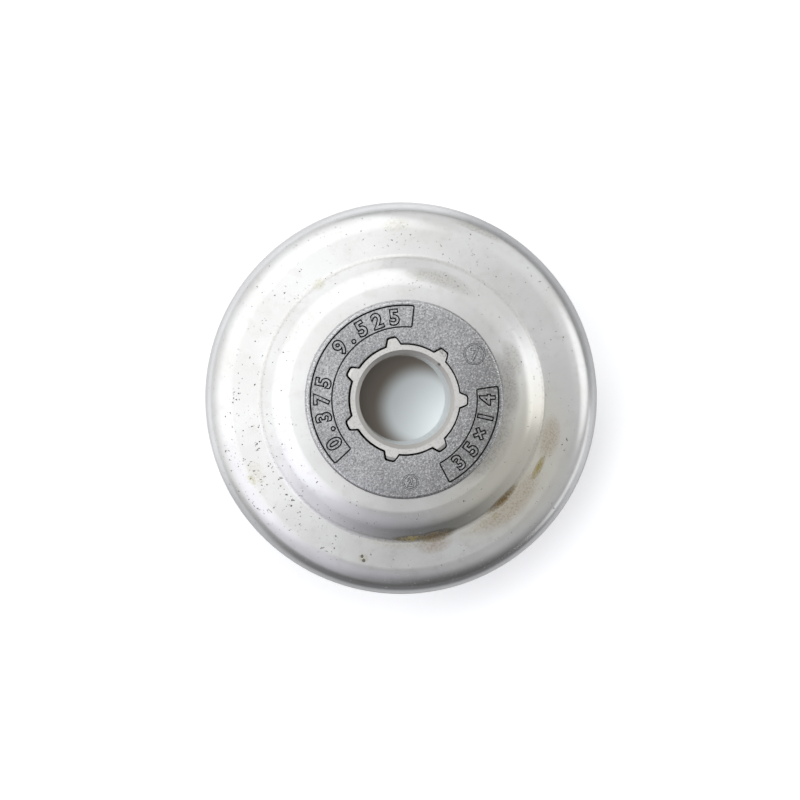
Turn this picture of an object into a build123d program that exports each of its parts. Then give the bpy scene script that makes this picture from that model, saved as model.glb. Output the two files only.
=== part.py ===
from build123d import *
import math
import os

# A chainsaw clutch drum with a floating rim sprocket, standing on the drum's open edge.
# Millimetres. +Z runs along the crankshaft axis, from the open edge towards the sprocket.
# The origin is the centre of the open edge.

# Splined hub: turned from bar, with the gaps between its splines cut away, and brazed into the cup
bearing_bore_diameter = 16.0
bore_end_chamfer = 0.7
hub_wall = 1.55
spline_count = 7
spline_height = 1.31
spline_root_width = 2.4
spline_tip_width = 1.35
spline_root_round = 0.2
spline_tip_round = 0.45
spline_end_bevel_width = 0.5
spline_end_bevel_height = 0.3
spline_first_angle = -0.9
hub_seat_step = 1.14
hub_flange_step = 3.5
hub_flange_thickness = 3.0
hub_flange_round = 0.8
hub_stands_proud = 0.2
braze_gap = 0.05

# Rim sprocket: one steel casting that slides on the splines
rim_width = 14.0
rim_edge_round = 0.7
spline_clearance = 0.24
rim_bore_round = 0.25
# The rim is loose on the hub and lies a little towards one side of its clearance
rim_lie_share = 0.25
rim_lie_angle = 200.0

# Drive pockets: one for each chain drive link, with a tooth between each two
pocket_floor_wall = 1.6
pocket_depth = 4.8
pocket_width = 3.2
pocket_floor_length = 4.6
pocket_floor_round = 1.3
pocket_mouth_round = 0.35
tooth_top_width = 4.4
tooth_hollow = 0.35

# Two sunken panels in the rim's outer face, each from one angle to another, with walls that lean outwards
# so that the casting leaves its mould
panel_bore_margin = 1.5
panel_edge_margin = 0.86
panel_depth = 0.35
panel_corner_radius = 0.45
panel_wall_draft = 38.0
panel_spans = [(83.7, 223.0), (298.0, 368.6)]

# Drum cup: pressed from one steel sheet, with a raised centre that the rim stands on
drum_diameter = 74.0
drum_height = 24.0
sheet_thickness = 2.2
drum_corner_radius = 5.6
drum_edge_round = 0.5
plateau_rise = 2.4
plateau_ledge = 3.2
plateau_shoulder_radius = 6.8
plateau_flank_angle = 32.0
plateau_foot_radius = 1.2

# Radii from the axis outwards, worked out from the sizes above
bore_radius = bearing_bore_diameter / 2
root_radius = bore_radius + hub_wall
tip_radius = root_radius + spline_height
seat_radius = tip_radius + hub_seat_step
flange_radius = seat_radius + hub_flange_step
groove_radius = tip_radius + spline_clearance
pocket_floor_radius = groove_radius + pocket_floor_wall
rim_radius = pocket_floor_radius + pocket_depth
drum_radius = drum_diameter / 2

# Heights from the open edge upwards
plateau_z = drum_height + plateau_rise
flange_top_z = plateau_z - sheet_thickness
flange_bottom_z = flange_top_z - hub_flange_thickness
rim_top_z = plateau_z + rim_width
hub_end_z = rim_top_z + hub_stands_proud

pitch_angle = 360 / spline_count
cutter_overrun = 1.0
same_place = 0.001


def turned(points):
    """The solid of revolution of a closed outline of straight sides, given as (radius, height) points."""
    return revolve(Plane.XZ * make_face(Polyline(*points, close=True)), Axis.Z)


def drum_cup():
    """The pressed cup: wall, face and raised centre, all of one sheet thickness."""
    slope = math.radians(plateau_flank_angle)
    shoulder = rim_radius + plateau_ledge + plateau_shoulder_radius * math.tan(slope / 2)
    foot = shoulder + plateau_rise / math.tan(slope)
    hole = seat_radius + braze_gap
    inner_shift = sheet_thickness * math.tan(slope / 2)
    inner_face_z = drum_height - sheet_thickness
    inner_radius = drum_radius - sheet_thickness
    outside = FilletPolyline(
        (drum_radius, 0),
        (drum_radius, drum_height),
        (foot, drum_height),
        (shoulder, plateau_z),
        (hole, plateau_z),
        radius=[drum_corner_radius, plateau_foot_radius, plateau_shoulder_radius],
    )
    inside = FilletPolyline(
        (hole, flange_top_z),
        (shoulder - inner_shift, flange_top_z),
        (foot - inner_shift, inner_face_z),
        (inner_radius, inner_face_z),
        (inner_radius, 0),
        radius=[
            plateau_shoulder_radius - sheet_thickness,
            plateau_foot_radius + sheet_thickness,
            drum_corner_radius - sheet_thickness,
        ],
    )
    hole_wall = Line(outside @ 1, inside @ 0)
    open_edge = Line(inside @ 1, outside @ 0)
    section = make_face([*outside.edges(), hole_wall, *inside.edges(), open_edge])
    cup = revolve(Plane.XZ * section, Axis.Z)
    edge_circles = cup.edges().filter_by(GeomType.CIRCLE).group_by(Axis.Z)[0]
    return fillet(edge_circles, drum_edge_round)


def spline_outline(clearance):
    """The outline of the splines round their root circle, grown by a clearance, with rounded roots and tips."""
    taper = (spline_root_width - spline_tip_width) / 2 / spline_height
    inner = root_radius - spline_height
    outer = tip_radius + spline_height
    halfway_up = root_radius + spline_height / 2 + clearance

    def half_width(radius):
        return spline_root_width / 2 + clearance - taper * (radius - root_radius)

    def is_tip(corner):
        return math.hypot(corner.X, corner.Y) > halfway_up

    def is_root(corner):
        return not is_tip(corner)

    bar = make_face(
        Polyline(
            (inner, -half_width(inner)),
            (outer, -half_width(outer)),
            (outer, half_width(outer)),
            (inner, half_width(inner)),
            close=True,
        )
    )
    spots = PolarLocations(0, spline_count, start_angle=spline_first_angle)
    splines = Circle(root_radius + clearance) + [spot * bar for spot in spots]
    outline = splines & Circle(tip_radius + clearance)
    outline = fillet(outline.vertices().filter_by(is_tip), spline_tip_round)
    return fillet(outline.vertices().filter_by(is_root), spline_root_round)


def splined_hub():
    """The hub: flange and seat inside the cup, splines outside it, and the bearing bore right through."""
    flange = turned(
        [
            (0, flange_bottom_z),
            (flange_radius, flange_bottom_z),
            (flange_radius, flange_top_z),
            (seat_radius, flange_top_z),
            (seat_radius, plateau_z),
            (0, plateau_z),
        ]
    )
    flange_rim = flange.edges().filter_by(GeomType.CIRCLE).group_by(Axis.Z)[0]
    flange = fillet(flange_rim, hub_flange_round)
    turned_end = turned(
        [
            (0, plateau_z),
            (tip_radius, plateau_z),
            (tip_radius, hub_end_z - spline_end_bevel_height),
            (tip_radius - spline_end_bevel_width, hub_end_z),
            (0, hub_end_z),
        ]
    )
    splines = Pos(0, 0, plateau_z) * extrude(spline_outline(0), hub_end_z - plateau_z)
    bearing_bore = turned(
        [
            (0, flange_bottom_z),
            (bore_radius + bore_end_chamfer, flange_bottom_z),
            (bore_radius, flange_bottom_z + bore_end_chamfer),
            (bore_radius, hub_end_z - bore_end_chamfer),
            (bore_radius + bore_end_chamfer, hub_end_z),
            (0, hub_end_z),
        ]
    )
    return flange + (splines & turned_end) - bearing_bore


def drive_pocket():
    """The outline of one pocket, pointing along +X: hollow flanks that run down to a rounded floor."""
    floor_end = (pocket_floor_radius, pocket_floor_length / 2)
    tooth_half_angle = math.asin(tooth_top_width / 2 / rim_radius)
    mouth_angle = math.radians(pitch_angle / 2) - tooth_half_angle
    mouth = (rim_radius * math.cos(mouth_angle), rim_radius * math.sin(mouth_angle))
    flank = Line(floor_end, mouth)
    across_flank = (flank % 0.5).rotate(Axis.Z, 90)
    upper = ThreePointArc(mouth, (flank @ 0.5) + across_flank * tooth_hollow, floor_end)
    lower = mirror(upper, Plane.XZ)
    beyond = rim_radius + cutter_overrun
    outline = make_face(
        [
            upper,
            Line(upper @ 1, lower @ 1),
            lower,
            Polyline(lower @ 0, (beyond, -mouth[1]), (beyond, mouth[1]), mouth),
        ]
    )
    floor_corners = outline.vertices().group_by(Axis.X)[0]
    return fillet(floor_corners, pocket_floor_round)


def sunken_panel(start, end):
    """The outline of a ring-shaped panel between two angles, with rounded corners."""
    inner_arc = CenterArc((0, 0), groove_radius + panel_bore_margin, start, end - start)
    outer_arc = CenterArc((0, 0), rim_radius - panel_edge_margin, start, end - start)
    outline = make_face(
        [
            inner_arc,
            Line(inner_arc @ 1, outer_arc @ 1),
            outer_arc,
            Line(outer_arc @ 0, inner_arc @ 0),
        ]
    )
    return fillet(outline.vertices(), panel_corner_radius)


def axis_distance(edge):
    """How far the middle of an edge lies from the Z axis."""
    middle = edge @ 0.5
    return math.hypot(middle.X, middle.Y)


def is_bore_edge(edge):
    """True for the edges round the two ends of the rim's splined bore."""
    return axis_distance(edge) < groove_radius + same_place


def is_mouth_edge(edge):
    """True for the edges of the pocket mouths, on the rim's outer cylinder and away from its two ends."""
    off_cylinder = abs(axis_distance(edge) - rim_radius)
    off_middle = abs((edge @ 0.5).Z - rim_width / 2)
    return off_cylinder < same_place and off_middle < pocket_width / 2 + same_place


def rim_sprocket():
    """The floating rim: a thick ring with a splined bore, drive pockets and two sunken panels."""
    ring = turned([(0, 0), (rim_radius, 0), (rim_radius, rim_width), (0, rim_width)])
    ring = fillet(ring.edges().filter_by(GeomType.CIRCLE), rim_edge_round)

    ring -= extrude(spline_outline(spline_clearance), rim_width)
    bore_edges = ring.edges().filter_by(Plane.XY).filter_by(is_bore_edge)
    ring = fillet(bore_edges, rim_bore_round)

    pocket = Pos(0, 0, rim_width / 2) * extrude(drive_pocket(), pocket_width / 2, both=True)
    for spot in PolarLocations(0, spline_count, start_angle=spline_first_angle + pitch_angle / 2):
        ring -= spot * pocket
    ring = fillet(ring.edges().filter_by(is_mouth_edge), pocket_mouth_round)

    for start, end in panel_spans:
        panel = extrude(sunken_panel(start, end), -panel_depth, taper=panel_wall_draft)
        ring -= Pos(0, 0, rim_width) * panel

    lie = Vector(spline_clearance * rim_lie_share, 0, 0).rotate(Axis.Z, rim_lie_angle)
    return Pos(lie.X, lie.Y, plateau_z) * ring


parts = {
    "drum_cup": drum_cup(),
    "splined_hub": splined_hub(),
    "rim_sprocket": rim_sprocket(),
}
os.makedirs("parts", exist_ok=True)
for name, shape in parts.items():
    export_step(shape, os.path.join("parts", name + ".step"))
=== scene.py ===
import math

import bmesh
import bpy
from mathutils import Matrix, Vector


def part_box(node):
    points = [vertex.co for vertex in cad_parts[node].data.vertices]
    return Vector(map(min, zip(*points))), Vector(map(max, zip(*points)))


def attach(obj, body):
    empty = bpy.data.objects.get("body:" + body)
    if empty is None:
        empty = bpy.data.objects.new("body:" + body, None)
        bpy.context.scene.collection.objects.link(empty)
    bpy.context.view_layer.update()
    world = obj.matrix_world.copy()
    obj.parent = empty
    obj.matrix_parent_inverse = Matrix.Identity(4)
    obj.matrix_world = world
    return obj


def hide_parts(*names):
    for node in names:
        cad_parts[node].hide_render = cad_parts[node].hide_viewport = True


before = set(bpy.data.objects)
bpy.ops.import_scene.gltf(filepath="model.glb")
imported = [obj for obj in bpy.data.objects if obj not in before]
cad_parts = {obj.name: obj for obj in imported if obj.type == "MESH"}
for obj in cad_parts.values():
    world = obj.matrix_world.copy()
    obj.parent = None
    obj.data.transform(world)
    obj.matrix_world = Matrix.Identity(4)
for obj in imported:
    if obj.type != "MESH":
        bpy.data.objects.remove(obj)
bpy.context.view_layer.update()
mm = 0.001

# Drum cup
# The clutch drum is a stepped cup, pressed from one sheet of steel and left bare. The clutch shoes rub its
# inside wall and the brake band its outside wall. The face has small pits, hazy patches and rust along the
# foot of the step.
drum_low, drum_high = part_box("drum_cup")
wall_radius = drum_high.x
sheet = 2.2 * mm
step_rise = 2.4 * mm
plateau_z = drum_high.z
face_z = plateau_z - step_rise
hub_hole_radius = 12.05 * mm
step_shoulder_radius = 22.65 * mm
step_foot_radius = 26.49 * mm
step_slope = math.radians(32)
inner_shift = sheet * math.tan(step_slope / 2)
corner_round = 5.6 * mm
shoulder_round = 6.8 * mm
foot_round = 1.2 * mm
edge_round = 0.5 * mm
same_spot = mm / 50
lathe_steps = 320


def only(piece):
    """Makes one piece the selected and active one."""
    bpy.ops.object.select_all(action="DESELECT")
    piece.select_set(True)
    bpy.context.view_layer.objects.active = piece


def pick(piece, wanted):
    """In edit mode, selects the points of a piece whose place passes a test, and no others."""
    points = bmesh.from_edit_mesh(piece.data)
    for point in points.verts:
        point.select_set(wanted(point.co))
    points.select_flush_mode()
    bmesh.update_edit_mesh(piece.data)


def section_outline(name, corners):
    """A closed outline in the XZ plane, drawn by moving a point from corner to corner. Stays in edit mode."""
    bpy.ops.object.select_all(action="DESELECT")
    bpy.ops.mesh.primitive_plane_add(size=mm)
    piece = bpy.context.object
    piece.name = name
    bpy.ops.object.mode_set(mode="EDIT")
    bpy.ops.mesh.merge(type="CENTER")
    first = corners[0]
    bpy.ops.transform.translate(value=(first[0], 0, first[1]))
    for last, corner in zip(corners, corners[1:]):
        step = (corner[0] - last[0], 0, corner[1] - last[1])
        bpy.ops.mesh.extrude_vertices_move(TRANSFORM_OT_translate={"value": step})
    ends = (corners[0], corners[-1])
    pick(piece, lambda place: any(math.dist((place.x, place.z), end) < same_spot for end in ends))
    bpy.ops.mesh.edge_face_add()
    return piece


def round_corner(piece, corner, radius, turn, segments):
    """Rounds one corner of an outline, where it turns by an angle."""
    pick(piece, lambda place: math.dist((place.x, place.z), corner) < same_spot)
    bpy.ops.mesh.bevel(
        affect="VERTICES", offset_type="OFFSET", offset=radius * math.tan(turn / 2), segments=segments
    )


def turn_on_lathe(piece, steps):
    """Spins an outline once round the Z axis into a closed solid, and leaves edit mode."""
    bpy.ops.mesh.select_all(action="SELECT")
    bpy.ops.mesh.spin(steps=steps, angle=math.tau, center=(0, 0, 0), axis=(0, 0, 1))
    bpy.ops.mesh.select_all(action="SELECT")
    bpy.ops.mesh.remove_doubles(threshold=mm / 500)
    bpy.ops.mesh.normals_make_consistent(inside=False)
    bpy.ops.object.mode_set(mode="OBJECT")
    only(piece)
    bpy.ops.object.shade_smooth_by_angle(angle=math.radians(35))


right_angle = math.pi / 2
outer_wall_foot = (wall_radius, drum_low.z)
outer_corner = (wall_radius, face_z)
outer_foot = (step_foot_radius, face_z)
outer_shoulder = (step_shoulder_radius, plateau_z)
inner_shoulder = (step_shoulder_radius - inner_shift, plateau_z - sheet)
inner_foot = (step_foot_radius - inner_shift, face_z - sheet)
inner_corner = (wall_radius - sheet, face_z - sheet)
inner_wall_foot = (wall_radius - sheet, drum_low.z)
drum = section_outline(
    "drum_cup_pressed",
    [
        outer_wall_foot,
        outer_corner,
        outer_foot,
        outer_shoulder,
        (hub_hole_radius, plateau_z),
        (hub_hole_radius, plateau_z - sheet),
        inner_shoulder,
        inner_foot,
        inner_corner,
        inner_wall_foot,
    ],
)
round_corner(drum, outer_wall_foot, edge_round, right_angle, segments=5)
round_corner(drum, outer_corner, corner_round, right_angle, segments=28)
round_corner(drum, outer_foot, foot_round, step_slope, segments=8)
round_corner(drum, outer_shoulder, shoulder_round, step_slope, segments=16)
round_corner(drum, inner_shoulder, shoulder_round - sheet, step_slope, segments=12)
round_corner(drum, inner_foot, foot_round + sheet, step_slope, segments=10)
round_corner(drum, inner_corner, corner_round - sheet, right_angle, segments=20)
round_corner(drum, inner_wall_foot, edge_round, right_angle, segments=5)
turn_on_lathe(drum, lathe_steps)


class Value:
    """A number, place or colour that changes over a surface, so that sums can be written with it."""

    def __init__(self, tree, socket=None):
        self.tree = tree
        self.socket = socket

    def node(self, kind, settings=None, sockets=None, out=0):
        """Adds a node, makes its settings first, then gives its sockets numbers or links."""
        made = self.tree.nodes.new("ShaderNode" + kind)
        for name, setting in (settings or {}).items():
            setattr(made, name, setting)
        for name, given in (sockets or {}).items():
            if isinstance(given, Value):
                self.tree.links.new(given.socket, made.inputs[name])
            else:
                made.inputs[name].default_value = given
        return Value(self.tree, made.outputs[out])

    def maths(self, operation, first, second=0.0):
        """One step of arithmetic on one or two values."""
        return self.node("Math", {"operation": operation}, {0: first, 1: second})

    def __add__(self, other):
        return self.maths("ADD", self, other)

    def __sub__(self, other):
        return self.maths("SUBTRACT", self, other)

    def __mul__(self, other):
        return self.maths("MULTIPLY", self, other)

    def __truediv__(self, other):
        return self.maths("DIVIDE", self, other)

    def __or__(self, other):
        return self.maths("MAXIMUM", self, other)

    def __radd__(self, other):
        return self.maths("ADD", other, self)

    def __rsub__(self, other):
        return self.maths("SUBTRACT", other, self)

    def __rmul__(self, other):
        return self.maths("MULTIPLY", other, self)

    def into(self, socket):
        """Links this value to a socket of a shader."""
        self.tree.links.new(self.socket, socket)


def fade(value, start, end, low=0.0, high=1.0):
    """A smooth change from low where the value is start to high where it is end, and flat beyond them."""
    return value.node(
        "MapRange",
        {"interpolation_type": "SMOOTHSTEP"},
        {"Value": value, "From Min": start, "From Max": end, "To Min": low, "To Max": high},
    )


def blend(share, colour, other):
    """From one colour to another by a share. Each is three numbers or a Value."""
    sides = [side if isinstance(side, Value) else (*side, 1) for side in (colour, other)]
    return share.node("Mix", {"data_type": "RGBA"}, {0: share, 6: sides[0], 7: sides[1]}, out=2)


def noise(place, size, detail=2.0, harshness=0.5):
    """Random lumps of about one size, from 0 to 1, with finer lumps on them."""
    sockets = {"Vector": place, "Scale": 1 / size, "Detail": detail, "Roughness": harshness}
    return place.node("TexNoise", {}, sockets)


def new_finish(name):
    """A new material: the material, its shader node, and a Value that can add nodes to it."""
    finish = bpy.data.materials.new(name)
    finish.use_nodes = True
    return finish, finish.node_tree.nodes["Principled BSDF"], Value(finish.node_tree)


def round_axis(nodes):
    """Where each point of a surface is: its place, its X, Y and Z, and how far it is from the Z axis."""
    place = nodes.node("TexCoord", out="Object")
    x, y, z = (nodes.node("SeparateXYZ", {}, {0: place}, out=axis) for axis in "XYZ")
    reach = nodes.maths("SQRT", x * x + y * y)
    return place, x, y, z, reach


def outward(nodes, x, y, reach):
    """How much each point of a surface faces away from the Z axis, and how much it faces up."""
    facing = nodes.node("TexCoord", out="Normal")
    facing_x, facing_y, up = (nodes.node("SeparateXYZ", {}, {0: facing}, out=axis) for axis in "XYZ")
    return (facing_x * x + facing_y * y) / reach, up


def bump(nodes, height):
    """The normals of a surface that a height in metres roughens."""
    return nodes.node("Bump", {}, {"Strength": 1.0, "Distance": 1.0, "Height": height})


drum_finish, drum_shader, nodes = new_finish("pressed_steel")
place, x, y, z, reach = round_axis(nodes)
away, up = outward(nodes, x, y, reach)


def stain(angle, radius, half_length, half_width):
    """A soft spot on the drum, drawn out along a circle: 1 in its middle, 0 past its ends. Sizes in mm."""
    turn = math.radians(angle)
    from_middle = nodes.maths("ARCCOSINE", (x * math.cos(turn) + y * math.sin(turn)) / reach)
    along = from_middle * reach / (half_length * mm)
    across = (reach - radius * mm) / (half_width * mm)
    return fade(along * along + across * across, 1, 0)


outside = fade(up, 0.1, 0.4)


def stains(spots):
    """Several spots as one mask, on the outside of the cup only."""
    mask = stain(*spots[0])
    for spot in spots[1:]:
        mask = mask | stain(*spot)
    return mask * outside


cloud = noise(place, 11 * mm, 3)
mottle = noise(place, 2.6 * mm, 5, 0.65)
grit = noise(place, 0.36 * mm, 4, 0.65)
fine = noise(place, 0.22 * mm, 2)
lumps_across = 40
lumps_upwards = 4500
drawn_out = (lumps_across, lumps_across, lumps_upwards)
ringed = nodes.node("Mapping", {}, {"Vector": place, "Scale": drawn_out})
rub_lines = nodes.node("TexNoise", {}, {"Vector": ringed, "Scale": 1.0, "Detail": 3.0})

bare_steel = blend(fade(cloud, 0.35, 0.65), (0.655, 0.655, 0.65), (0.705, 0.71, 0.71))
bare_steel = blend(fade(mottle, 0.5, 0.3, 0, 0.35), bare_steel, (0.57, 0.565, 0.55))
wall = fade(away, 0.80, 0.97)
rubbed_steel = blend(fade(rub_lines, 0.35, 0.65), (0.42, 0.415, 0.41), (0.62, 0.615, 0.605))
colour = blend(wall, bare_steel, rubbed_steel)
inside = fade(away + up, 0.1, -0.3)
shoe_track = fade(away, -0.85, -0.97)
dusty_steel = blend(fade(cloud + grit, 0.8, 1.2), (0.25, 0.21, 0.17), (0.42, 0.37, 0.31))
track_steel = blend(fade(rub_lines, 0.35, 0.65), (0.36, 0.34, 0.31), (0.58, 0.56, 0.53))
colour = blend(inside, colour, blend(shoe_track, dusty_steel, track_steel))

speckled = fade(grit, 0.47, 0.63)
old_film = stains([(328, 25.5, 22, 9.5)])
colour = blend(0.85 * old_film, colour, (0.68, 0.66, 0.575))
# Next to the rim at the right, the plateau is painted dark grey-brown: partly dirt, partly the rim's painted
# shadow.
rim_dirt_and_shadow = stains([(335, 18.2, 12.5, 3.8), (4, 19, 9, 3)])
colour = blend(rim_dirt_and_shadow * (0.5 + 0.25 * speckled), colour, (0.24, 0.225, 0.20))
# A faint darker grey line runs all round the foot of the step.
from_foot = nodes.maths("ABSOLUTE", reach - step_foot_radius + 0.2 * mm)
foot_line_darkening = fade(from_foot, 0.6 * mm, 0.1 * mm) * outside
grey_film = stains([(66, 34.4, 6, 0.8), (72, 23.2, 8, 1.8), (20, 21.6, 4, 2)])
grey_share = grey_film * (0.3 + 0.3 * speckled) | foot_line_darkening * (0.15 + 0.25 * speckled)
colour = blend(grey_share, colour, (0.34, 0.32, 0.28))
tan_film = stains([(316, 28.4, 10, 2.6), (345, 28.4, 5, 2.2), (282.5, 27.8, 4, 1.9)])
colour = blend(tan_film * (0.35 + 0.35 * speckled), colour, (0.42, 0.33, 0.235))
yellow_film = stains([(92, 32.2, 3.2, 1.6), (300, 27.7, 4, 1.2), (270, 26.8, 8, 1.4), (207, 30.4, 3, 2)])
colour = blend(yellow_film * (0.1 + 0.3 * speckled), colour, (0.46, 0.42, 0.27))
green_spots = stains(
    [(126, 26.2, 1.5, 1.2), (208.4, 31.7, 1.4, 0.8), (308, 27.8, 1, 0.7), (256.2, 30.5, 1.2, 1)]
)
colour = blend(green_spots * (0.2 + 0.45 * speckled), colour, (0.40, 0.38, 0.18))
crease = stains([(275, 26, 4.6, 0.8), (284, 26.2, 4.5, 1.3), (315, 26.5, 4.5, 0.9), (333, 28.4, 3, 0.8)])
rust_share = crease * fade(grit + 0.5 * mottle, 0.5, 0.85, 0.35, 1)
thicker_rust = stains([(284, 26.2, 5, 1.6), (315, 26.5, 5, 1.2)])
rust = blend(thicker_rust, (0.29, 0.235, 0.08), (0.14, 0.09, 0.025))
colour = blend(rust_share, colour, rust)

specks = noise(place, 0.55 * mm, 2, 0.6)
clusters = noise(place, 4 * mm, 2)
crowded = stains([(208, 29, 22, 9), (18, 22, 4, 2.5)])
pits = fade(specks + 0.12 * clusters + 0.04 * crowded, 0.75, 0.81) * fade(up, 0.4, 0.7)
smudge = stains([(255.7, 30.2, 0.45, 0.45), (256.6, 30.9, 0.5, 0.4)])
pits = pits | fade(smudge + 0.8 * (grit - 0.5), 0.3, 0.7)
colour = blend(0.9 * pits, colour, (0.11, 0.10, 0.08))
scuffs = stain(311, 35.1, 8, 0.4) * fade(fine, 0.56, 0.66)
colour = blend(scuffs, colour, (0.90, 0.90, 0.89))
colour.into(drum_shader.inputs["Base Color"])

dull = fade(rust_share, 0.5, 0.95) | pits
(1 - 0.7 * dull).into(drum_shader.inputs["Metallic"])
worn_in = 0.08 * wall + 0.12 * inside + 0.25 * scuffs
(0.15 + 0.05 * fine + 0.07 * mottle + 0.35 * dull + worn_in).into(drum_shader.inputs["Roughness"])
waves = noise(place, 13 * mm, 1)
swell = waves * (0.10 * mm) + fine * (0.003 * mm) + rub_lines * (wall | shoe_track) * (0.006 * mm)
bump(nodes, swell - pits * (0.03 * mm)).into(drum_shader.inputs["Normal"])
drum.data.materials.append(drum_finish)
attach(drum, "drum")
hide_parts("drum_cup")

# Splined hub
# The hub is turned from bar, with seven splines cut on it, and brazed into the cup's hole. Its end stands
# just above the rim's face, a plain turned ring round the bearing bore, which its bearing has worn smooth and
# bright.
hub_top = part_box("splined_hub")[1].z
bore_radius = 8.0 * mm
bore_chamfer = 0.7 * mm
tool_mark_spacing = 0.16 * mm
nick_place = (5.9 * mm, 6.05 * mm, hub_top)
chip_place = (6.9 * mm, 8.3 * mm, hub_top)


def merged_copy(node, name):
    """A copy of a CAD node with its loose triangles joined, so that round faces shade as round."""
    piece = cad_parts[node].copy()
    piece.data = piece.data.copy()
    piece.name = name
    bpy.context.collection.objects.link(piece)
    only(piece)
    bpy.ops.mesh.customdata_custom_splitnormals_clear()
    bpy.ops.object.mode_set(mode="EDIT")
    bpy.ops.mesh.select_all(action="SELECT")
    bpy.ops.mesh.remove_doubles(threshold=mm / 1000)
    bpy.ops.object.mode_set(mode="OBJECT")
    bpy.ops.object.shade_smooth_by_angle(angle=math.radians(25))
    piece.data.materials.clear()
    return piece


hub = merged_copy("splined_hub", "splined_hub_turned")
hub_finish, hub_shader, nodes = new_finish("turned_steel")
place, x, y, z, reach = round_axis(nodes)
away, up = outward(nodes, x, y, reach)
cloud = noise(place, 3.5 * mm, 3)
speckle = noise(place, 0.35 * mm, 3)
tool_marks = nodes.node(
    "TexNoise", {"noise_dimensions": "1D"}, {"W": reach, "Scale": 1 / tool_mark_spacing, "Detail": 2.0}
)
turned = blend(fade(cloud, 0.3, 0.7), (0.58, 0.575, 0.56), (0.64, 0.635, 0.62))
turned = blend(fade(speckle, 0.5, 0.7, 0, 0.6), turned, (0.42, 0.41, 0.395))
by_the_bore = fade(reach, bore_radius + bore_chamfer * 1.3, bore_radius + bore_chamfer * 0.7)
chamfer = by_the_bore * fade(up, 0.2, 0.5)
turned = blend(chamfer, turned, (0.60, 0.59, 0.57))


def from_point(nodes, place, point):
    """How far each point of a surface is from one point."""
    return nodes.node("VectorMath", {"operation": "DISTANCE"}, {0: place, 1: point}, out="Value")


nick = fade(from_point(nodes, place, nick_place), 0.5 * mm, 0.15 * mm)
chip = fade(from_point(nodes, place, chip_place), 1.1 * mm, 0.5 * mm)
turned = blend(nick | chip * fade(speckle, 0.42, 0.58, 0, 0.6), turned, (0.14, 0.13, 0.12))
bore = fade(away, -0.8, -0.95)
polished = blend(cloud, (0.66, 0.65, 0.63), (0.78, 0.775, 0.76))
colour = blend(bore, turned, polished)
# Lower down, away from its bore, the hub is painted darker and browner: painted shade in the gap between hub
# and rim.
low_down = fade(z, hub_top - 0.6 * mm, hub_top - 3 * mm) * (1 - bore)
colour = blend(low_down, colour, blend(cloud, (0.22, 0.18, 0.15), (0.40, 0.35, 0.30)))
colour.into(hub_shader.inputs["Base Color"])
hub_shader.inputs["Metallic"].default_value = 1
(0.34 + 0.12 * cloud + 0.08 * speckle + 0.12 * chamfer - 0.30 * bore).into(hub_shader.inputs["Roughness"])
swell = tool_marks * up * (0.006 * mm) + speckle * (0.015 * mm)
bump(nodes, swell).into(hub_shader.inputs["Normal"])
hub.data.materials.append(hub_finish)
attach(hub, "drum")
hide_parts("splined_hub")

# Rim sprocket
# The rim is one steel casting that slides on the splines. Its skin keeps the grain of the mould, its edges
# are bright where the chain and handling have rubbed them, and its right side is painted darker as shade.
# The slanted walls of its sunken panels are painted near black: dirt, and painted shade in the corners.
rim_low, rim_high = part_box("rim_sprocket")
rim_face_z = rim_high.z
rim_radius = (rim_high.x - rim_low.x) / 2
panel_depth = 0.35 * mm
panel_edge_margin = 0.86 * mm
panel_inner_radius = 12.6 * mm
panel_outer_radius = rim_radius - panel_edge_margin
rim = merged_copy("rim_sprocket", "rim_sprocket_cast")
rim_finish, rim_shader, nodes = new_finish("cast_steel")
place, x, y, z, reach = round_axis(nodes)
away, up = outward(nodes, x, y, reach)
grain = noise(place, 0.3 * mm, 3, 0.6)
fine_grain = noise(place, 0.16 * mm, 2)
cloud = noise(place, 6 * mm, 3)
skin = blend(fade(cloud, 0.3, 0.7), (0.345, 0.35, 0.36), (0.405, 0.41, 0.42))
# The rim's right side is painted darker, towards the lower right: painted shade.
rim_painted_shade = fade(0.94 * x - 0.34 * y, -3 * mm, 16 * mm, 0, 0.72)
skin = blend(rim_painted_shade, skin, (0.20, 0.20, 0.20))
skin = blend(fade(grain, 0.52, 0.66, 0, 0.55), skin, (0.66, 0.665, 0.67))
skin = blend(fade(grain, 0.48, 0.34, 0, 0.65), skin, (0.13, 0.13, 0.135))
in_panels = fade(reach, panel_inner_radius - 0.6 * mm, panel_inner_radius - 0.3 * mm)
in_panels = in_panels * fade(reach, panel_outer_radius + 0.35 * mm, panel_outer_radius + 0.2 * mm)
in_panels = in_panels * fade(z, rim_face_z - 2 * panel_depth, rim_face_z - 1.5 * panel_depth)
in_panels = in_panels * fade(z, rim_face_z, rim_face_z + 0.1 * mm, 1, 0.35)
# The slanted walls of the sunken panels and numerals, and faintly the mould marks, are painted near black:
# dirt, and painted shade in the recesses.
dirt_and_painted_shade = in_panels * fade(up, 0.93, 0.80)
edge = fade(reach, rim_radius - 0.75 * mm, rim_radius - 0.5 * mm)
edge = edge * fade(away, 0.95, 0.8) * fade(z, rim_face_z - 1.2 * mm, rim_face_z - 0.8 * mm)
worn = edge * fade(fine_grain, 0.45, 0.65, 0, 0.85)
colour = blend(worn, skin, (0.78, 0.78, 0.77))
colour = blend(dirt_and_painted_shade, colour, (0.03, 0.03, 0.032))
colour.into(rim_shader.inputs["Base Color"])
rim_shader.inputs["Metallic"].default_value = 1
(0.20 + 0.08 * cloud + 0.3 * dirt_and_painted_shade).into(rim_shader.inputs["Roughness"])
grain_left = fade(z, rim_face_z - 0.3 * panel_depth, rim_face_z - 0.7 * panel_depth, 1, 0.4)
swell = (grain * (0.09 * mm) + fine_grain * (0.012 * mm)) * grain_left
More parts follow.
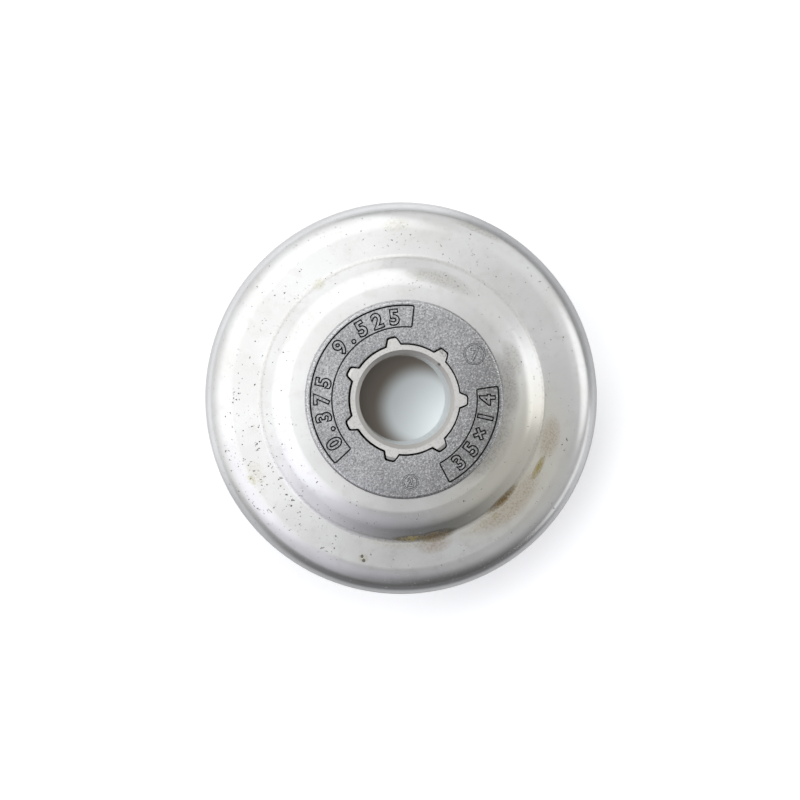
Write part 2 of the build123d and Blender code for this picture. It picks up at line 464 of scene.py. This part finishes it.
bump(nodes, swell).into(rim_shader.inputs["Normal"])
rim.data.materials.append(rim_finish)
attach(rim, "rim")
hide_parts("rim_sprocket")

# Size numerals
# The casting carries plain raised numerals in its panels: the chain's pitch in inches and in millimetres, and
# the rim's own diameter and width. They are cast with the rim, and their slanted sides are painted near black:
# dirt, and painted shade.
rim_centre = ((rim_low.x + rim_high.x) / 2, (rim_low.y + rim_high.y) / 2)
panel_floor_z = rim_face_z - panel_depth
numeral_height = 2.5 * mm
numeral_rise = 0.28 * mm
numeral_slope = 0.25 * mm
# A numeral's height as a share of the font's size, and other characters' widths as shares of a numeral's
font_height = 0.69
width_shares = {".": 0.62, "×": 0.95, " ": 1.25}


def raised_character(character, height, rise, slope):
    """One raised character as a mesh at the origin, as deep below its foot as it stands above it."""
    bpy.ops.object.select_all(action="DESELECT")
    bpy.ops.object.text_add()
    letter = bpy.context.object
    letter.data.body = character
    letter.data.size = height / font_height
    letter.data.align_x = "CENTER"
    letter.data.extrude = rise - slope
    letter.data.bevel_depth = slope
    letter.data.bevel_resolution = 0
    bpy.ops.object.convert(target="MESH")
    return letter


def set_down(piece, angle, radius, level, turn):
    """Sets a piece on the rim, at an angle and a distance from its axis, turned about its own upright."""
    only(piece)
    direction = math.radians(angle)
    piece.location = (
        rim_centre[0] + radius * math.cos(direction),
        rim_centre[1] + radius * math.sin(direction),
        level,
    )
    piece.rotation_euler = (0, 0, math.radians(turn))
    bpy.ops.object.transform_apply(location=True, rotation=True, scale=False)


def cast_on_rim(name, pieces):
    """Joins raised pieces into one, which rides on the rim and has its finish."""
    only(pieces[0])
    for piece in pieces:
        piece.select_set(True)
    bpy.ops.object.join()
    joined = bpy.context.object
    joined.name = name
    joined.data.materials.append(rim_finish)
    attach(joined, "rim")


def raised_numerals(name, text, first_angle, pitch_angle, base_radius, upright_turn):
    """A row of raised characters along a panel, each turned at its own angle to stand on a circle."""
    angle = first_angle
    letters = []
    last_width = 0
    for character in text:
        width = width_shares.get(character, 1)
        if letters:
            angle += pitch_angle * (last_width + width) / 2
        last_width = width
        if character != " ":
            letter = raised_character(character, numeral_height, numeral_rise, numeral_slope)
            set_down(letter, angle, base_radius, panel_floor_z, angle + upright_turn)
            letters.append(letter)
    cast_on_rim(name, letters)


raised_numerals(
    "pitch_numerals",
    "0.375 9.525",
    first_angle=212,
    pitch_angle=-12.1,
    base_radius=13.3 * mm,
    upright_turn=-90,
)
raised_numerals(
    "rim_size_numerals",
    "35×14",
    first_angle=311,
    pitch_angle=12.4,
    base_radius=15.75 * mm,
    upright_turn=90,
)

# Mould marks
# Two small raised rings on the rim's face, each with a plain numeral, show which cavity of the mould the
# casting came from. They are cast with the rim and worn almost flat.
mark_rise = 0.14 * mm
mark_slope = 0.1 * mm
ring_half_foot = 0.26 * mm
ring_half_top = 0.08 * mm
ring_steps = 48


def mould_mark(name, numeral, angle, distance, radius, numeral_size):
    """A raised ring with one numeral in it."""
    ring = section_outline(
        name + "_ring",
        [
            (radius - ring_half_foot, -mark_rise),
            (radius + ring_half_foot, -mark_rise),
            (radius + ring_half_top, mark_rise),
            (radius - ring_half_top, mark_rise),
        ],
    )
    turn_on_lathe(ring, ring_steps)
    set_down(ring, angle, distance, rim_face_z, 0)
    letter = raised_character(numeral, numeral_size, mark_rise, mark_slope)
    bpy.ops.transform.translate(value=(0, -numeral_size / 2, 0))
    bpy.ops.object.transform_apply(location=True, rotation=False, scale=False)
    set_down(letter, angle, distance, rim_face_z, 0)
    cast_on_rim(name, [ring, letter])


mould_mark("cavity_mark", "7", angle=33, distance=14.6 * mm, radius=1.75 * mm, numeral_size=2.0 * mm)
mould_mark("pattern_mark", "2", angle=274, distance=14.5 * mm, radius=1.25 * mm, numeral_size=1.4 * mm)

# Table
# The drum stands on a white card on a plain grey table. To the eye both are almost white, apart from the
# drum's own soft shadow, which a painted shadow deepens at the lower right, and a painted shadow under the
# drum.
# The steel shows the card and the dimmer table beyond it, with painted shade and painted light on them.
table_radius = 4
card_radius = 110 * mm
card_edge = 60 * mm
bpy.ops.object.select_all(action="DESELECT")
bpy.ops.mesh.primitive_circle_add(
    vertices=64, radius=table_radius, fill_type="NGON", location=(0, 0, drum_low.z)
)
table = bpy.context.object
table.name = "table_top"
table_finish, table_shader, nodes = new_finish("white_table")
table_shader.inputs["Roughness"].default_value = 0.9
place, x, y, z, reach = round_axis(nodes)
kinds = ("Is Camera Ray", "Is Glossy Ray", "Is Transmission Ray")
camera_ray, glossy_ray, transmission_ray = (nodes.node("LightPath", out=kind) for kind in kinds)


def towards(azimuth):
    """How nearly each point of the table lies in one direction from the axis: 1 there, -1 behind it."""
    turn = math.radians(azimuth)
    return (x * math.cos(turn) + y * math.sin(turn)) / reach


on_card = fade(reach, card_radius + card_edge, card_radius)
card = blend(on_card, (0.55, 0.55, 0.555), (0.79, 0.80, 0.82))
lit_spot = from_point(nodes, place, (4.3 * mm, -2.1 * mm, 0))
# Under the drum, away from the spot its lamp lights, the card is painted dark brown: a painted shadow.
painted_shadow_under_drum = fade(lit_spot, 5.5 * mm, 9.5 * mm) * fade(reach, 20 * mm, 12 * mm)
card = blend(painted_shadow_under_drum, card, (0.26, 0.215, 0.185))
# As the steel sees them, the card and table are painted darker towards the bottom and the upper right: painted
# shade.
painted_shade_in_steel = fade(towards(278), 0.40, 0.88) | fade(towards(36), 0.70, 0.95, 0, 0.45)
painted_shade_in_steel = painted_shade_in_steel * fade(reach, 42 * mm, card_radius)
blend(painted_shade_in_steel * glossy_ray, card, (0.16, 0.16, 0.165)).into(table_shader.inputs["Base Color"])
in_the_open = fade(reach, wall_radius - 2 * mm, wall_radius + 1 * mm)
# As the steel sees it, the card glows more towards the upper left, and the table beyond it glows in a patch at
# the right: painted light.
painted_light_in_steel = fade(towards(138), 0.25, 0.55, 0, 0.32)
painted_window_light = fade(towards(336), 0.90, 0.98, 0, 0.6) * fade(reach, card_radius, 200 * mm)
# Close to the drum at the lower right, the card's glow to the eye is turned down: a painted shadow.
painted_shadow_side = fade(towards(320), 0.60, 0.95, 0, 0.10) * fade(reach, 48 * mm, 40 * mm)
to_the_eye = (0.40 - painted_shadow_side) * (camera_ray | transmission_ray)
shown = (to_the_eye | glossy_ray * (painted_light_in_steel | painted_window_light)) * in_the_open
blend(shown, (0, 0, 0), (1, 1, 1)).into(table_shader.inputs["Emission Color"])
table_shader.inputs["Emission Strength"].default_value = 1
table.data.materials.append(table_finish)

# Room
# A bright wall stands at the left and the top of the picture and reaches up overhead. The other side is
# dimmer: a paler wall at the upper right over a dark skirting, a window on the right and the darkest corner at
# the bottom. The steel shows all of it, and to the eye the room is plain white.
room = bpy.data.worlds.new("room")
bpy.context.scene.world = room
room.use_nodes = True
room_light = room.node_tree.nodes["Background"]
nodes = Value(room.node_tree)
look = nodes.node("TexCoord", out="Generated")
east, north, height = (nodes.node("SeparateXYZ", {}, {0: look}, out=axis) for axis in "XYZ")


def glow(azimuth, elevation, outer, inner, strength):
    """A soft round patch in one direction of the room. Its outer and inner edges are angles from its middle."""
    turn, tilt = math.radians(azimuth), math.radians(elevation)
    eastward, northward = math.cos(tilt) * math.cos(turn), math.cos(tilt) * math.sin(turn)
    nearness = east * eastward + north * northward + height * math.sin(tilt)
    return fade(nearness, math.cos(math.radians(outer)), math.cos(math.radians(inner)), 0, strength)


sideways = nodes.maths("SQRT", 1 - height * height)


def bearing(azimuth):
    """How nearly each direction has one compass bearing, however high it looks: 1 there, -1 behind it."""
    turn = math.radians(azimuth)
    return (east * math.cos(turn) + north * math.sin(turn)) / sideways


bright_wall = glow(157, 36, 59, 50.5, 1.08) * fade(height, -0.05, 0.75, 0.5, 1)
bright_wall = bright_wall | glow(190, 12, 36, 14, 0.45)
side_wall = fade(bearing(165), -0.55, 0.75, 0, 0.62) * fade(height, 0.12, 0.36) * fade(height, 0.97, 0.88)
paler_wall = glow(60, 40, 62, 20, 0.50) * fade(height, 0, 0.35, 0.5, 1) | glow(340, 42, 48, 12, 0.14)
window = glow(9, 28, 26, 9, 0.95) | fade(bearing(336), 0.88, 0.97, 0, 0.6) * fade(height, 0.16, 0.06)
dark_corner = glow(280, -3, 60, 5, 0.32)
skirting = fade(bearing(48), 0.62, 0.92, 0, 0.30) * fade(height, 0.12, 0.03)
lit = 0.45 + (bright_wall | side_wall | paler_wall | window) - dark_corner - skirting
camera_ray = nodes.node("LightPath", out="Is Camera Ray")
(lit + camera_ray * (1 - lit)).into(room_light.inputs["Strength"])
lilac_side = glow(240, 40, 45, 10, 1)
blend(lilac_side, (1, 1, 1), (0.94, 0.93, 1.0)).into(room_light.inputs["Color"])

# Lamp under the drum
# A small soft lamp stands inside the cup, out of sight. It lights the part of the table that shows through the
# bore, from the lower right.
lamp_place = (16 * mm, -9 * mm, 18 * mm)
lamp_aim = (6 * mm, -3 * mm, 0)
lamp_line = [aim - spot for aim, spot in zip(lamp_aim, lamp_place)]
lamp_tilt = math.atan2(math.hypot(lamp_line[0], lamp_line[1]), -lamp_line[2])
lamp_turn = math.atan2(-lamp_line[1], -lamp_line[0])
bpy.ops.object.select_all(action="DESELECT")
bpy.ops.object.light_add(type="SPOT", location=lamp_place, rotation=(0, lamp_tilt, lamp_turn))
lamp = bpy.context.object
lamp.name = "lamp_in_cup"
lamp.data.energy = 0.018
lamp.data.color = (0.93, 1.0, 1.0)
lamp.data.shadow_soft_size = 2 * mm
lamp.data.spot_size = math.radians(60)
lamp.data.spot_blend = 0.6

# Camera
# It looks almost straight down from a little to the left, as far away as the photograph's perspective asks.
# Its focal length is worked out from one in pixels, so that the picture keeps the photograph's scale.
pixels = 800
focal_pixels = 1552.0
sensor = 36.0
camera_place = (-8.0 * mm, 2.6 * mm, 311.7 * mm)
camera_aim = (-0.31 * mm, -0.31 * mm, 19.1 * mm)
camera = bpy.data.objects.new("camera", bpy.data.cameras.new("camera"))
bpy.context.collection.objects.link(camera)
camera.data.sensor_width = sensor
camera.data.lens = sensor * focal_pixels / pixels
camera.data.clip_start = 0.01
camera.location = camera_place
camera_line = [aim - spot for aim, spot in zip(camera_aim, camera_place)]
camera_tilt = math.asin(camera_line[1] / math.hypot(*camera_line))
camera_lean = math.atan2(-camera_line[0], -camera_line[2])
camera.rotation_euler = (camera_tilt, camera_lean, 0)
bpy.context.scene.camera = camera
bpy.context.scene.view_settings.view_transform = "Standard"
